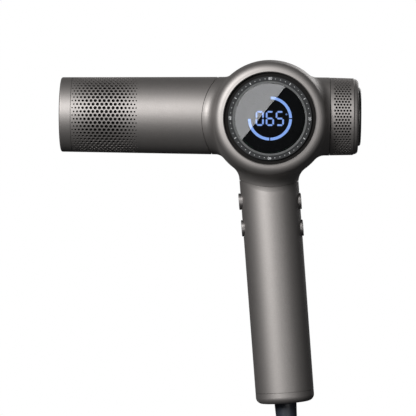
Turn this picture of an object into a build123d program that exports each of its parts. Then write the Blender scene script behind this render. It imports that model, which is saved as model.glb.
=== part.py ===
from build123d import *
import os
from math import cos, pi, radians, sin, sqrt

# Handheld high-speed hair dryer, as an assembly of separate pieces, in millimetres.
# X runs from the air outlet (-X) to the air intake (+X), Y points away from the display, Z is up.
# Shapes are drawn about the centre of the round hub.  At the end the whole dryer is moved so that
# the origin lies on the handle's axis, in the middle of the hand grip.

# ---- Barrel ----
BARREL_Z = 2.9              # height of the barrel's axis over the hub centre
OUTLET_X = -146.1           # front edge of the outlet
OUTLET_SEAM_X = -138.0      # seam between outlet ring and barrel
GRILLE_END_X = -135.0
DUCT_START_X = -52.0        # heat shield in front, air duct behind
REAR_SEAM_X = 41.5          # seam between hub and rear cap
CAP_GAP = 0.3               # air gap between hub and rear cap
OUTLET_R = 26.1             # outer radius at the outlet
HUB_BARREL_R = 27.5         # outer radius where the barrel meets the hub
REAR_R = 27.2               # outer radius at the rear seam
BORE_R = 24.5               # bore of barrel and hub stubs, and outside of the ducts
MOUTH_R = 22.5              # clear bore of the outlet
SEAM_R = 47.0               # seams are cut by a cylinder about the display axis
SEAM_WIDTH = 0.4
SEAM_DEPTH = 0.6

# ---- Hub drum, turned about the display axis ----
DRUM_R = 41.9               # crown radius at mid depth
DRUM_RIM_R = 38.2           # corner of the front face before rounding
DRUM_RIM_Y = 37.1
DRUM_RIM_ROUND = 6.0
DRUM_FACE_Y = 38.0          # front face, at the display opening
DISPLAY_OPENING_R = 31.7
BEZEL_CHAMFER = 0.6
FACE_INNER_Y = 34.5         # inner side of the drum's faces
BACK_COVER_Y = 37.5
FRONT_FILLET = 7.0          # where the barrel runs into the drum
REAR_FILLET = 9.0
NECK_FILLET = 11.0

# ---- Display ----
CARRIER_FLOOR_Y = 31.5
CARRIER_FLANGE_R = 33.4
CARRIER_T = 1.5
RECESS_Y = 35.5             # floor of the black ring around the dial
DIAL_OUT_R = 28.9
DIAL_IN_R = 25.7
DIAL_Y = 37.0
TRIM_Y = 37.4
GLASS_R = 24.1
GLASS_BOTTOM_Y = 36.4
GLASS_TOP_Y = 37.6
BOARD_T = 1.6
LIGHT_TOP_Y = 35.9
ARC_R = 14.15
ARC_WIDTH = 1.95
DIGIT_HEIGHT = 10.3
DIGIT_WIDTH = 5.5
DIGIT_STROKE = 1.25
DIGIT_CENTRES = (-7.0, 0.0, 6.8)
SEVEN_SEGMENTS = {"0": "abcdef", "5": "acdfg", "6": "acdefg"}

# ---- Rear cap with the intake filter ----
CAP_SLEEVE_END_X = 57.9
CAP_END_R = 26.8
CAP_BEVEL_X = 59.3
CAP_RIM_X = 61.4
CAP_DISC_X = 63.3
CAP_DISC_R = 20.5
CAP_INNER_R = 25.2
COLLAR_R = 24.2             # spigot that the cap slides over
COLLAR_IN_R = 21.5
COLLAR_START_X = 36.0
COLLAR_END_X = 45.0
KEEPER_T = 1.0
FILTER_START_X = COLLAR_END_X + CAP_GAP
FILTER_R = 23.4
CAP_MAGNET_CIRCLE_R = 23.3
CAP_MAGNET_R = 1.5

# ---- Motor and rotor, about the barrel's axis ----
DUCT_IN_R = 23.0
SHROUD_R = 20.0
SHROUD_IN_R = 18.6
MOTOR_R = 9.0
MOTOR_IN_R = 7.8
MOTOR_START_X = -6.0
MOTOR_END_X = 16.0
SHROUD_END_X = 32.0
BEARING_R = 4.0
BEARING_T = 2.8
SHAFT_R = 1.5
RUNNING_CLEARANCE = 0.03
MAGNET_R = 3.4
IMPELLER_R = 18.2
IMPELLER_START_X = 19.0
IMPELLER_END_X = 30.0
VANES = 9
BLADES = 11

# ---- Heater ----
MICA_START_X = -126.0
MICA_END_X = -66.0
MICA_R = 20.0
MICA_T = 1.0
COIL_R = 18.6
COIL_WIRE_R = 0.5
COIL_TURNS = 9
COIL_PITCH = 5.5

# ---- Handle, about its own tilted axis; heights are measured along it from the hub's level ----
HANDLE_X = -3.8             # where the handle's axis crosses the level of the hub centre
HANDLE_TILT = 4.75          # degrees, foot towards the intake
HANDLE_TOP_R = 20.6
HANDLE_FOOT_R = 20.4
HANDLE_IN_R = 18.8
HANDLE_FLARE_END = -56.0    # the tube flares towards the drum above this
HANDLE_SEAM = -190.0
HANDLE_FOOT = -197.7
FOOT_ROUND = 4.5
FOOT_FLOOR = 3.5
GRIP_DROP = 120.2           # middle of the hand grip

# ---- Buttons ----
BUTTON_LENGTH = 11.5        # along the handle
BUTTON_WIDTH = 14.0         # across it
BUTTON_ROUND = 5.0
BUTTON_SIDE_GAP = 0.25
BUTTON_FLANGE_R = 16.4      # outside of the hidden flange that keeps a button in
BUTTON_FLANGE_T = 1.4
BUTTONS = {                 # side of the handle, height along it, height over the tube
    "power_button": (-1, -55.6, 1.5),
    "cool_button": (-1, -74.3, 1.0),
    "speed_button": (1, -58.2, 0.9),
    "heat_button": (1, -76.9, 0.9),
}
SWITCH_BOARD_X = 7.4        # distance of the switch boards from the handle's axis
SWITCH_HEIGHT = 3.5

# ---- Inside the handle ----
CHASSIS_T = 1.4
CHASSIS_TOP = -50.0
CHASSIS_FOOT = -182.0
CARRIER_TOP = -46.0         # switch carrier and its boards
CARRIER_FOOT = -86.0
MAIN_BOARD_Y = 4.0
MAIN_BOARD_TOP = -92.0
MAIN_BOARD_FOOT = -176.0
MAIN_BOARD_WIDTH = 30.0
BOARD_SCREW_PLACES = [(x, z) for x in (-11, 11) for z in (-98, -170)]
HEAT_SINK_TOP = -112.0
HEAT_SINK_FOOT = -138.0
HEAT_SINK_WIDTH = 26.0
CAPACITOR_R = 6.5
CLAMP_FOOT = HANDLE_SEAM + 4
CLAMP_SCREW_PLACES = [(-11, 3), (11, 3)]
SCREW_R = 1.0

# ---- Cord ----
CORD_R = 4.0
RELIEF_R = 7.8
RELIEF_END_R = 5.2
RELIEF_FLANGE_R = 8.8
RELIEF_LENGTH = 55.0
COIL_MEAN_R = 46.0
COIL_LAYERS = 3             # eight turns lie three deep and three wide
COIL_CENTRE_X = 22.0
COIL_CENTRE_Z = -370.6
TIE_ANGLE = 16              # degrees of the coil under the tie
TIE_T = 1.4
COIL_CORNER = CORD_R - 0.1
PLUG_TOP_Z = COIL_CENTRE_Z - 64
PLUG_LENGTH = 38.0
PLUG_COLLAR = 12.0
PLUG_COLLAR_R = 7.5
PLUG_WIDTH = 24.0
PLUG_DEPTH = 34.0
PIN_R = 2.4
PIN_LENGTH = 19.0
PIN_SPACING = 19.0

tilt = radians(HANDLE_TILT)
barrel_axis = Plane(origin=(0, 0, BARREL_Z), x_dir=(0, 1, 0), z_dir=(1, 0, 0)).location
display_axis = Plane(origin=(0, 0, 0), x_dir=(1, 0, 0), z_dir=(0, -1, 0)).location
handle_axis = Plane(
    origin=(HANDLE_X, 0, 0), x_dir=(cos(tilt), 0, sin(tilt)), z_dir=(-sin(tilt), 0, cos(tilt))
).location
grip_to_origin = Pos(-(HANDLE_X + GRIP_DROP * sin(tilt)), 0, GRIP_DROP * cos(tilt))

nodes = {}


# ---- Shapes about a local Z axis ----
def disc(radius, start, end):
    return Pos(0, 0, (start + end) / 2) * Cylinder(radius, end - start)


def ring(outer, inner, start, end):
    return disc(outer, start, end) - disc(inner, start - 1, end + 1)


def frustum(start_radius, start, end_radius, end):
    return Pos(0, 0, (start + end) / 2) * Cone(start_radius, end_radius, end - start)


def block(x_range, y_range, z_range):
    sizes = [high - low for low, high in (x_range, y_range, z_range)]
    centre = [(high + low) / 2 for low, high in (x_range, y_range, z_range)]
    return Pos(*centre) * Box(*sizes)


def turned(outline, rounds=()):
    """Solid turned about Z from (radius, height) corners; rounds are (corner number, size)."""
    face = make_face(Polyline(*[(r, 0, z) for r, z in outline], close=True))
    for corner, size in rounds:
        r, z = outline[corner]
        face = fillet(face.vertices().sort_by_distance((r, 0, z))[0], size)
    return revolve(face, Axis.Z, 360)


def around(count, shape):
    """Copies of a shape, evenly spaced about Z."""
    return [Rot(0, 0, 360 * index / count) * shape for index in range(count)]


def joined(shapes):
    whole = shapes[0]
    for shape in shapes[1:]:
        whole += shape
    return whole


def apart(shapes):
    """One node of several separate solids."""
    return Compound([solid for shape in shapes for solid in shape.solids()])


# ---- Outer shell ----
def barrel_radius(x):
    """Outer radius of the barrel, tapering from hub to outlet."""
    return OUTLET_R + (HUB_BARREL_R - OUTLET_R) * (x - OUTLET_X) / -OUTLET_X


def seam_groove():
    """Thin groove along the curved seams of barrel and neck."""
    groove = display_axis * ring(SEAM_R + SEAM_WIDTH / 2, SEAM_R - SEAM_WIDTH / 2, -60, 60)
    front = barrel_axis * frustum(
        barrel_radius(-60) - SEAM_DEPTH, -60, barrel_radius(0) - SEAM_DEPTH, 0
    )
    neck = handle_axis * disc(HANDLE_TOP_R - SEAM_DEPTH, -60, 0)
    return groove - front - neck - block((24, 80), (-60, 60), (-80, 80))


def make_outer_form():
    """The drum with its three tubes, as one rounded solid that hub and handle are cut from."""
    side = ThreePointArc((DRUM_RIM_R, 0, DRUM_RIM_Y), (DRUM_R, 0, 0), (DRUM_RIM_R, 0, -DRUM_RIM_Y))
    faces = Polyline(
        (DRUM_RIM_R, 0, -DRUM_RIM_Y),
        (DISPLAY_OPENING_R, 0, -DRUM_FACE_Y),
        (0, 0, -DRUM_FACE_Y),
        (0, 0, DRUM_FACE_Y),
        (DISPLAY_OPENING_R, 0, DRUM_FACE_Y),
        (DRUM_RIM_R, 0, DRUM_RIM_Y),
    )
    face = make_face([side, faces])
    for z in (DRUM_RIM_Y, -DRUM_RIM_Y):
        corner = face.vertices().sort_by_distance((DRUM_RIM_R, 0, z))[0]
        face = fillet(corner, DRUM_RIM_ROUND)
    # The seam of the turned drum is put on top, clear of the three tubes that meet it.
    form = display_axis * Rot(0, 0, 90) * revolve(face, Axis.Z, 360)
    form += barrel_axis * frustum(barrel_radius(-90), -90, HUB_BARREL_R, 0)
    form += barrel_axis * frustum(HUB_BARREL_R, 0, REAR_R, REAR_SEAM_X + 20)
    form += handle_axis * disc(HANDLE_TOP_R, -90, 0)

    def where_tubes_meet(low_x, high_x, high_z):
        def meets(edge):
            middle = edge.position_at(0.5)
            on_drum = 36 < sqrt(middle.X ** 2 + middle.Z ** 2) < 42.3
            return edge.geom_type == GeomType.BSPLINE and on_drum
        edges = [edge for edge in form.edges() if meets(edge)]
        return [edge for edge in edges if low_x < edge.center().X < high_x and edge.center().Z < high_z]

    form = fillet(where_tubes_meet(-80, -30, 80), FRONT_FILLET)
    form = fillet(where_tubes_meet(30, 80, 80), REAR_FILLET)
    return fillet(where_tubes_meet(-30, 30, -35), NECK_FILLET)


outer_form = make_outer_form()


def make_hub_housing():
    seam_limit = display_axis * disc(SEAM_R, -60, 60) + block((0, 80), (-60, 60), (-35, 80))
    shell = (outer_form & seam_limit) - block((REAR_SEAM_X, 80), (-50, 50), (-50, 50))
    inside = display_axis * turned([
        (0, -FACE_INNER_Y), (33.5, -FACE_INNER_Y), (36.0, -32.0), (39.2, -14.0),
        (39.8, 0), (39.2, 14.0), (36.0, 32.0), (33.5, FACE_INNER_Y), (0, FACE_INNER_Y),
    ])
    inside += barrel_axis * disc(BORE_R, -70, 70)
    inside += handle_axis * disc(HANDLE_IN_R, -70, 0)
    opening = display_axis * disc(DISPLAY_OPENING_R, -50, 50)
    chamfer_top = DRUM_FACE_Y + 1
    cone_r = DISPLAY_OPENING_R + BEZEL_CHAMFER + 1
    chamfer = display_axis * frustum(
        DISPLAY_OPENING_R, DRUM_FACE_Y - BEZEL_CHAMFER, cone_r, chamfer_top
    )
    return shell - inside - opening - chamfer - seam_groove()


def make_front_barrel():
    tube = barrel_axis * frustum(barrel_radius(OUTLET_SEAM_X), OUTLET_SEAM_X, HUB_BARREL_R, 0)
    tube -= barrel_axis * disc(BORE_R, OUTLET_SEAM_X - 1, 1)
    tube -= display_axis * disc(SEAM_R, -60, 60)
    groove = ring(40, barrel_radius(OUTLET_SEAM_X) - SEAM_DEPTH, OUTLET_SEAM_X - 1,
                  OUTLET_SEAM_X + SEAM_WIDTH / 2)
    return tube - barrel_axis * groove - seam_groove()


def make_outlet_ring():
    mouth = turned(
        [(MOUTH_R, OUTLET_X), (OUTLET_R, OUTLET_X),
         (barrel_radius(OUTLET_SEAM_X), OUTLET_SEAM_X), (MOUTH_R, OUTLET_SEAM_X)],
        rounds=[(0, 0.8), (1, 1.2)],
    )
    groove = ring(40, barrel_radius(OUTLET_SEAM_X) - SEAM_DEPTH, OUTLET_SEAM_X - SEAM_WIDTH / 2,
                  OUTLET_SEAM_X + 1)
    return barrel_axis * (mouth - groove)


def make_handle_shell():
    tube = frustum(HANDLE_FOOT_R, HANDLE_SEAM, HANDLE_TOP_R, HANDLE_FLARE_END)
    tube -= ring(30, HANDLE_FOOT_R - SEAM_DEPTH, HANDLE_SEAM - 1, HANDLE_SEAM + SEAM_WIDTH / 2)
    tube = handle_axis * tube + (outer_form & handle_axis * disc(30, HANDLE_FLARE_END, -30))
    tube -= handle_axis * disc(HANDLE_IN_R, HANDLE_SEAM - 1, 0)
    tube = tube - display_axis * disc(SEAM_R, -60, 60) - seam_groove()
    for side, height, lift in BUTTONS.values():
        hole = RectangleRounded(
            BUTTON_WIDTH + 2 * BUTTON_SIDE_GAP, BUTTON_LENGTH + 2 * BUTTON_SIDE_GAP,
            BUTTON_ROUND + BUTTON_SIDE_GAP,
        )
        tube -= button_seat(side, height) * Pos(0, 0, 15) * extrude(hole, 10)
    return tube


def make_handle_end_cap():
    cup = turned(
        [(0, HANDLE_FOOT), (HANDLE_FOOT_R, HANDLE_FOOT), (HANDLE_FOOT_R, HANDLE_SEAM),
         (HANDLE_IN_R, HANDLE_SEAM), (HANDLE_IN_R, HANDLE_SEAM + 6), (HANDLE_IN_R - 1.5, HANDLE_SEAM + 6),
         (HANDLE_IN_R - 1.5, HANDLE_FOOT + FOOT_FLOOR), (0, HANDLE_FOOT + FOOT_FLOOR)],
        rounds=[(1, FOOT_ROUND)],
    )
    cup -= ring(30, HANDLE_FOOT_R - SEAM_DEPTH, HANDLE_SEAM - SEAM_WIDTH / 2, HANDLE_SEAM + 1)
    cup -= disc(RELIEF_R, HANDLE_FOOT - 1, HANDLE_SEAM)
    for x, y in CLAMP_SCREW_PLACES:
        cup += Pos(x, y, 0) * disc(2.4, HANDLE_FOOT + FOOT_FLOOR, CLAMP_FOOT)
        cup -= Pos(x, y, 0) * disc(SCREW_R, CLAMP_FOOT - 6, CLAMP_FOOT + 1)
    return handle_axis * cup


def button_seat(side, height):
    """Local axes at a button: Z points out of the handle, X across it."""
    return handle_axis * Plane(origin=(0, 0, height), x_dir=(0, 1, 0), z_dir=(side, 0, 0)).location


def make_button(side, height, lift):
    cap_height = HANDLE_TOP_R + lift - BUTTON_FLANGE_R
    cap = extrude(RectangleRounded(BUTTON_WIDTH, BUTTON_LENGTH, BUTTON_ROUND), cap_height)
    cap = fillet(cap.faces().sort_by(Axis.Z)[-1].edges(), 0.5)
    flange_face = RectangleRounded(BUTTON_WIDTH + 2.4, BUTTON_LENGTH + 3, BUTTON_ROUND + 0.5)
    flange_foot = BUTTON_FLANGE_R - BUTTON_FLANGE_T
    button = Pos(0, 0, BUTTON_FLANGE_R) * cap + Pos(0, 0, flange_foot) * extrude(flange_face, BUTTON_FLANGE_T)
    button += disc(2.0, flange_foot - 1.2, flange_foot)
    return button_seat(side, height) * button


# ---- Inside the handle ----
def board_screw_axis(x, z):
    return Pos(x, 0, z) * Rot(-90, 0, 0)


def make_handle_chassis():
    half = ring(HANDLE_IN_R, HANDLE_IN_R - CHASSIS_T, CHASSIS_FOOT, CHASSIS_TOP)
    half &= block((-20, 20), (9.5, 20), (-190, 0))
    for x, z in BOARD_SCREW_PLACES:
        post = board_screw_axis(x, z) * disc(2.6, MAIN_BOARD_Y + BOARD_T, 20)
        half += post & disc(HANDLE_IN_R - 0.5, -190, 0)
        half -= board_screw_axis(x, z) * disc(SCREW_R, MAIN_BOARD_Y, 12)
    return handle_axis * half


def make_switch_carrier():
    width = SWITCH_BOARD_X
    carrier = block((-width, width), (-6, 6), (CARRIER_FOOT, CARRIER_TOP))
    carrier -= block((-width + 2, width - 2), (-4.5, 4.5), (CARRIER_FOOT - 1, CARRIER_TOP + 1))
    web = block((-1.5, 1.5), (6, 20), (CARRIER_FOOT + 2, CHASSIS_TOP - 2))
    return handle_axis * (carrier + (web & disc(HANDLE_IN_R - CHASSIS_T, CARRIER_FOOT, CARRIER_TOP)))


def make_switch_board(side):
    board = block((SWITCH_BOARD_X, SWITCH_BOARD_X + BOARD_T), (-7, 7), (CARRIER_FOOT, CARRIER_TOP))
    return handle_axis * (board if side > 0 else mirror(board, Plane.YZ))


def make_switches():
    foot = SWITCH_BOARD_X + BOARD_T
    switches = []
    for side, height, lift in BUTTONS.values():
        body = Pos(0, 0, foot + 1.25) * Box(6, 6, 2.5)
        switches.append(button_seat(side, height) * (body + disc(1.7, foot + 2.5, foot + SWITCH_HEIGHT)))
    return apart(switches)


def make_main_board():
    half = MAIN_BOARD_WIDTH / 2
    board = block((-half, half), (MAIN_BOARD_Y, MAIN_BOARD_Y + BOARD_T), (MAIN_BOARD_FOOT, MAIN_BOARD_TOP))
    for x, z in BOARD_SCREW_PLACES:
        board -= board_screw_axis(x, z) * disc(SCREW_R, 0, 10)
    return handle_axis * board


def make_board_screws():
    screws = []
    for x, z in BOARD_SCREW_PLACES:
        head = disc(2.1, MAIN_BOARD_Y - 1.4, MAIN_BOARD_Y)
        head -= block((-1.5, 1.5), (-0.3, 0.3), (MAIN_BOARD_Y - 1.5, MAIN_BOARD_Y - 0.9))
        shank = disc(SCREW_R, MAIN_BOARD_Y, 11)
        screws.append(handle_axis * board_screw_axis(x, z) * (head + shank))
    return apart(screws)


def make_heat_sink():
    height = (HEAT_SINK_FOOT, HEAT_SINK_TOP)
    half = HEAT_SINK_WIDTH / 2
    sink = block((-half, half), (MAIN_BOARD_Y - 2, MAIN_BOARD_Y), height)
    for index in range(-2, 3):
        x = index * (half - 0.6) / 2
        sink += block((x - 0.6, x + 0.6), (-8, MAIN_BOARD_Y - 2), height)
    return handle_axis * sink


def make_board_components():
    """Two power switches, a controller chip and the filter capacitor."""
    components = [block((x - 3, x + 3), (1.4, MAIN_BOARD_Y), (-110, -103)) for x in (-4, 4)]
    components.append(block((4, 10), (2.8, MAIN_BOARD_Y), (-160, -150)))
    components.append(Pos(-6.5, MAIN_BOARD_Y - CAPACITOR_R, 0) * disc(CAPACITOR_R, -164, -144))
    return handle_axis * apart(components)


def make_clamp():
    bar = block((-14, 14), (-1, 7), (CLAMP_FOOT, CLAMP_FOOT + 4)) - disc(CORD_R, -200, -170)
    for x, y in CLAMP_SCREW_PLACES:
        bar -= Pos(x, y, 0) * disc(SCREW_R, -200, -170)
    return handle_axis * bar


def make_clamp_screws():
    screws = []
    for x, y in CLAMP_SCREW_PLACES:
        shank = disc(SCREW_R, CLAMP_FOOT - 5, CLAMP_FOOT + 4)
        head = disc(2.0, CLAMP_FOOT + 4, CLAMP_FOOT + 5.4)
        head -= block((-1.5, 1.5), (-0.3, 0.3), (CLAMP_FOOT + 4.9, CLAMP_FOOT + 6))
        screws.append(Pos(x, y, 0) * (shank + head))
    return handle_axis * apart(screws)


def make_mains_leads():
    """Two insulated wires from the cord up to the main board."""
    wire = Pos(0, MAIN_BOARD_Y - 1.2, 0) * disc(1.2, CLAMP_FOOT + 8, MAIN_BOARD_FOOT + 5)
    return handle_axis * apart([Pos(x, 0, 0) * wire for x in (-1.6, 1.6)])


def make_motor_leads():
    """Three insulated wires from the main board up through the switch carrier to the hub."""
    wires = [Pos(x, MAIN_BOARD_Y - 0.9, 0) * disc(0.9, MAIN_BOARD_TOP - 4, -25) for x in (-2.2, 0, 2.2)]
    duct = barrel_axis * disc(BORE_R, -60, 60)
    return apart([handle_axis * wire - duct for wire in wires])


# ---- Display ----
def make_display_carrier():
    tube = ring(DISPLAY_OPENING_R, DIAL_OUT_R, CARRIER_FLOOR_Y, RECESS_Y)
    floor = disc(DISPLAY_OPENING_R, CARRIER_FLOOR_Y - CARRIER_T, CARRIER_FLOOR_Y)
    flange = ring(CARRIER_FLANGE_R, DISPLAY_OPENING_R - 1, FACE_INNER_Y - CARRIER_T, FACE_INNER_Y)
    return display_axis * (tube + floor + flange)


def make_dial_ring():
    return display_axis * turned(
        [(DIAL_IN_R, CARRIER_FLOOR_Y), (DIAL_OUT_R, CARRIER_FLOOR_Y), (DIAL_OUT_R, DIAL_Y - 0.3),
         (DIAL_OUT_R - 0.3, DIAL_Y), (DIAL_IN_R, DIAL_Y)])


def make_trim_ring():
    rim = ring(DIAL_IN_R, GLASS_R + 0.3, GLASS_BOTTOM_Y, TRIM_Y)
    base = ring(DIAL_IN_R, GLASS_R - 0.8, CARRIER_FLOOR_Y, GLASS_BOTTOM_Y)
    return display_axis * (rim + base)


def make_light_arcs():
    """Four quarter light guides round the digits."""
    foot = CARRIER_FLOOR_Y + BOARD_T
    whole = ring(ARC_R + ARC_WIDTH / 2, ARC_R - ARC_WIDTH / 2, foot, LIGHT_TOP_Y)
    quarter = whole & block((0.4, 20), (0.4, 20), (foot - 1, LIGHT_TOP_Y + 1))
    return display_axis * apart(around(4, quarter))


def segment_bars(letters):
    """Bars of one seven-segment digit, each as centre and size, standing upright on local XY."""
    long = DIGIT_HEIGHT / 2 - DIGIT_STROKE
    wide = DIGIT_WIDTH - DIGIT_STROKE
    side = wide / 2
    half = (DIGIT_HEIGHT - DIGIT_STROKE) / 2
    upright = (DIGIT_STROKE, long)
    level = (wide - DIGIT_STROKE * 1.15, DIGIT_STROKE)
    places = {
        "a": (0, half, level), "b": (side, half / 2, upright), "c": (side, -half / 2, upright),
        "d": (0, -half, level), "e": (-side, -half / 2, upright), "f": (-side, half / 2, upright),
        "g": (0, 0, level),
    }
    return [places[letter] for letter in letters]


def make_display_digits():
    foot = CARRIER_FLOOR_Y + BOARD_T
    bars = []
    for centre, digit in zip(DIGIT_CENTRES, "065"):
        for x, y, (width, height) in segment_bars(SEVEN_SEGMENTS[digit]):
            bar = block((x - width / 2, x + width / 2), (y - height / 2, y + height / 2), (foot, LIGHT_TOP_Y))
            bars.append(Pos(centre, 0, 0) * bar)
    return display_axis * apart(bars)


def make_back_cover():
    inside = -FACE_INNER_Y + CARRIER_T
    return display_axis * turned(
        [(0, inside), (CARRIER_FLANGE_R, inside), (CARRIER_FLANGE_R, -FACE_INNER_Y),
         (DISPLAY_OPENING_R, -FACE_INNER_Y), (DISPLAY_OPENING_R, -BACK_COVER_Y + 0.3),
         (DISPLAY_OPENING_R - 0.7, -BACK_COVER_Y), (0, -BACK_COVER_Y)])


# ---- Air path, motor and heater, about the barrel's axis ----
def make_outlet_grille():
    grille = ring(BORE_R, 21.6, OUTLET_SEAM_X, GRILLE_END_X)
    for radius in (4.0, 10.0, 16.0):
        grille += ring(radius, radius - 1.2, OUTLET_SEAM_X, GRILLE_END_X)
    spoke = block((3.4, MOUTH_R - 0.3), (-0.6, 0.6), (OUTLET_SEAM_X, GRILLE_END_X))
    return barrel_axis * joined([grille] + around(6, spoke))


def make_heat_shield():
    tube = ring(BORE_R, DUCT_IN_R, GRILLE_END_X, DUCT_START_X)
    for start in (MICA_START_X + 2, MICA_END_X - 5):
        tube += ring(DUCT_IN_R + 0.5, MICA_R + 0.6, start, start + 3)
    return barrel_axis * tube


def heater_stations():
    first = (MICA_START_X + MICA_END_X - (COIL_TURNS - 1) * COIL_PITCH) / 2
    return [first + index * COIL_PITCH for index in range(COIL_TURNS)]


def make_heater_boards():
    board = block((-MICA_R, MICA_R), (-MICA_T / 2, MICA_T / 2), (MICA_START_X, MICA_END_X))
    cross = (board + Rot(0, 0, 90) * board) & disc(MICA_R, MICA_START_X, MICA_END_X)
    for station in heater_stations():
        cross -= ring(30, COIL_R - COIL_WIRE_R - 0.1, station - 0.7, station + 0.7)
    return barrel_axis * cross


def make_heater_coil():
    loops = [Pos(0, 0, station) * Torus(COIL_R, COIL_WIRE_R) for station in heater_stations()]
    return barrel_axis * apart(loops)


def make_thermal_cutout():
    return barrel_axis * block((MICA_T / 2, 4.5), (5, 11), (MICA_END_X - 12, MICA_END_X - 3))


def make_motor_housing():
    frame = ring(SHROUD_R, SHROUD_IN_R, MOTOR_START_X, SHROUD_END_X)
    frame += ring(MOTOR_R, MOTOR_IN_R, MOTOR_START_X, MOTOR_END_X)
    frame += ring(MOTOR_R, BEARING_R, MOTOR_START_X, MOTOR_START_X + BEARING_T)
    frame += ring(MOTOR_R, BEARING_R, MOTOR_END_X - BEARING_T, MOTOR_END_X)
    vane = block((MOTOR_R - 0.4, SHROUD_R - 0.6), (-0.5, 0.5), (MOTOR_START_X + 4, MOTOR_END_X - 2))
    return barrel_axis * joined([frame] + around(VANES, vane))


def make_stator():
    core = ring(MOTOR_IN_R, 6.4, -1, 11)
    pole = block((MAGNET_R + 0.5, 6.8), (-1.2, 1.2), (-1, 11))
    return barrel_axis * (joined([core] + around(3, pole)))


def make_windings():
    """Copper wound round the three poles."""
    copper = block((4.3, 6.2), (-2.2, 2.2), (-2.4, 12.4)) - block((0, 10), (-1.2, 1.2), (-1, 11))
    copper = copper & disc(6.3, -5, 15)
    return barrel_axis * apart(around(3, copper))


def make_impeller():
    hub = frustum(MOTOR_R, IMPELLER_START_X, 3.6, IMPELLER_END_X)
    blade = Pos(0, 0, (IMPELLER_START_X + IMPELLER_END_X) / 2) * Rot(35, 0, 0) * block(
        (2.5, 24), (-0.45, 0.45), (-9, 9))
    wheel = joined([hub] + around(BLADES, blade))
    wheel = wheel & disc(IMPELLER_R, IMPELLER_START_X, IMPELLER_END_X)
    return barrel_axis * (wheel - disc(SHAFT_R, 0, 40))


def make_bearing(start):
    return barrel_axis * ring(BEARING_R, SHAFT_R + RUNNING_CLEARANCE, start, start + BEARING_T)


def make_intake_collar():
    collar = ring(BORE_R, COLLAR_IN_R, COLLAR_START_X, REAR_SEAM_X)
    collar += ring(COLLAR_R, COLLAR_IN_R, REAR_SEAM_X - 1, COLLAR_END_X - KEEPER_T)
    return barrel_axis * collar


def make_intake_grille():
    start = COLLAR_START_X + 1
    grille = ring(COLLAR_IN_R, COLLAR_IN_R - 1.2, start, start + 2)
    for radius in (5.0, 10.5, 16.0):
        grille += ring(radius, radius - 1.0, start, start + 2)
    spoke = block((4.5, COLLAR_IN_R - 0.6), (-0.5, 0.5), (start, start + 2))
    return barrel_axis * joined([grille] + around(8, spoke))


# ---- Rear cap ----
def make_cap_sleeve():
    start = REAR_SEAM_X + CAP_GAP
    return barrel_axis * (
        frustum(REAR_R, start, CAP_END_R, CAP_SLEEVE_END_X) - disc(CAP_INNER_R, start - 1, 60))


def make_cap_rim():
    return barrel_axis * turned(
        [(CAP_DISC_R, CAP_SLEEVE_END_X), (CAP_END_R, CAP_SLEEVE_END_X), (CAP_END_R - 0.5, CAP_BEVEL_X - 0.6),
         (CAP_END_R - 1.2, CAP_RIM_X), (CAP_DISC_R, CAP_RIM_X)],
        rounds=[(3, 2.4)],
    )


def make_cap_disc():
    return barrel_axis * turned(
        [(0, CAP_SLEEVE_END_X), (CAP_DISC_R, CAP_SLEEVE_END_X), (CAP_DISC_R, CAP_DISC_X), (0, CAP_DISC_X)],
        rounds=[(2, 1.6)],
    )


def make_filter_frame():
    flange = ring(CAP_INNER_R, COLLAR_IN_R, FILTER_START_X, FILTER_START_X + 2)
    pocket = Pos(CAP_MAGNET_CIRCLE_R, 0, 0) * disc(CAP_MAGNET_R, FILTER_START_X - 1, FILTER_START_X + 3)
    for place in around(6, pocket):
        flange -= place
    end_ring = ring(CAP_INNER_R, FILTER_R, CAP_SLEEVE_END_X - 1.5, CAP_SLEEVE_END_X)
    rib = block((FILTER_R + 0.2, CAP_INNER_R - 0.2), (-0.8, 0.8), (FILTER_START_X + 1, CAP_SLEEVE_END_X - 1))
    return barrel_axis * joined([flange, end_ring] + around(8, Rot(0, 0, 22.5) * rib))


def make_cap_magnets():
    magnet = Pos(CAP_MAGNET_CIRCLE_R, 0, 0) * disc(CAP_MAGNET_R, FILTER_START_X, FILTER_START_X + 2)
    return barrel_axis * apart(around(6, magnet))


# ---- Cord, coil and plug ----
relief_end = handle_axis * Pos(0, 0, HANDLE_FOOT - RELIEF_LENGTH)
lead_start = relief_end.position
coil_half = COIL_LAYERS * CORD_R
cord_end_x = COIL_CENTRE_X + COIL_MEAN_R + coil_half - CORD_R


def make_strain_relief():
    foot = HANDLE_FOOT - RELIEF_LENGTH
    floor_top = HANDLE_FOOT + FOOT_FLOOR
    return handle_axis * turned([
        (0, foot), (RELIEF_END_R, foot), (RELIEF_R, HANDLE_FOOT), (RELIEF_R, floor_top),
        (RELIEF_FLANGE_R, floor_top), (RELIEF_FLANGE_R, floor_top + 2), (0, floor_top + 2)])


def lead_points():
    """Route of the cord from the strain relief down to the coil, in the plane of the dryer."""
    places = [(0, 0), (25 * sin(tilt), -25 * cos(tilt)), (8.8, -45.5), (21.5, -63.5), (32.5, -72.5)]
    return [(lead_start.X + x, 0, lead_start.Z + z) for x, z in places]


def turn_radii(points):
    """Largest arc that the runs beside each corner allow."""
    radii = []
    for before, corner, after in zip(points, points[1:], points[2:]):
        incoming = Vector(*corner) - Vector(*before)
        outgoing = Vector(*after) - Vector(*corner)
        half_turn = radians(incoming.get_angle(outgoing)) / 2
        radii.append(0.45 * min(incoming.length, outgoing.length) * cos(half_turn) / sin(half_turn))
    return radii


def cord_tube(name, points):
    radii = turn_radii(points)
    print(name, "radii", [round(radius, 1) for radius in radii])
    path = FilletPolyline(*points, radius=radii)
    tube = sweep(Plane(path @ 0, z_dir=path % 0) * Circle(CORD_R), path)
    section = pi * CORD_R ** 2
    print(name, "volume over section times length", round(tube.volume / (section * path.length), 4))
    return tube


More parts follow.
